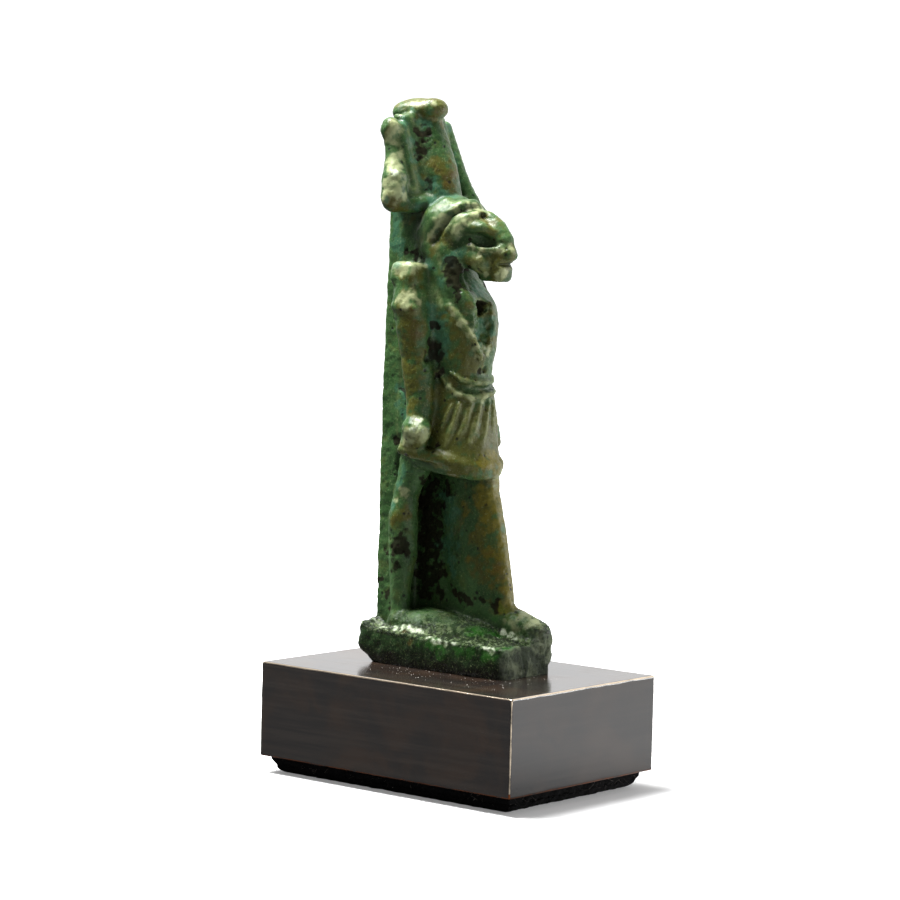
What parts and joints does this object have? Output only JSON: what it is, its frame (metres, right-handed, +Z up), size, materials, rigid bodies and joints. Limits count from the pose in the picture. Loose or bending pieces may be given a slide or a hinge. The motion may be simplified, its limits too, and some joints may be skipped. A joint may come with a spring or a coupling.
{
  "type": "amulet",
  "caption": "Standing lion-headed figure with tall crown and back pillar, in glazed ceramic, on a rectangular bronze plinth with a felt pad.",
  "frame": {"origin": "middle of the pad's underside, at the bottom of everything", "axes": "+Z up, -Y the way the figure faces, +X to the figure's left"},
  "size_m": [0.0256, 0.036, 0.0763],
  "materials": {
    "faience": "worn green glaze over a fired ceramic body",
    "bronze": "dark brown patina, satin, bare at the edges",
    "felt": "matt black felt"
  },
  "bodies": {
    "root": {"amulet": "faience", "display_block": "bronze", "pad": "felt"}
  },
  "joints": []
}
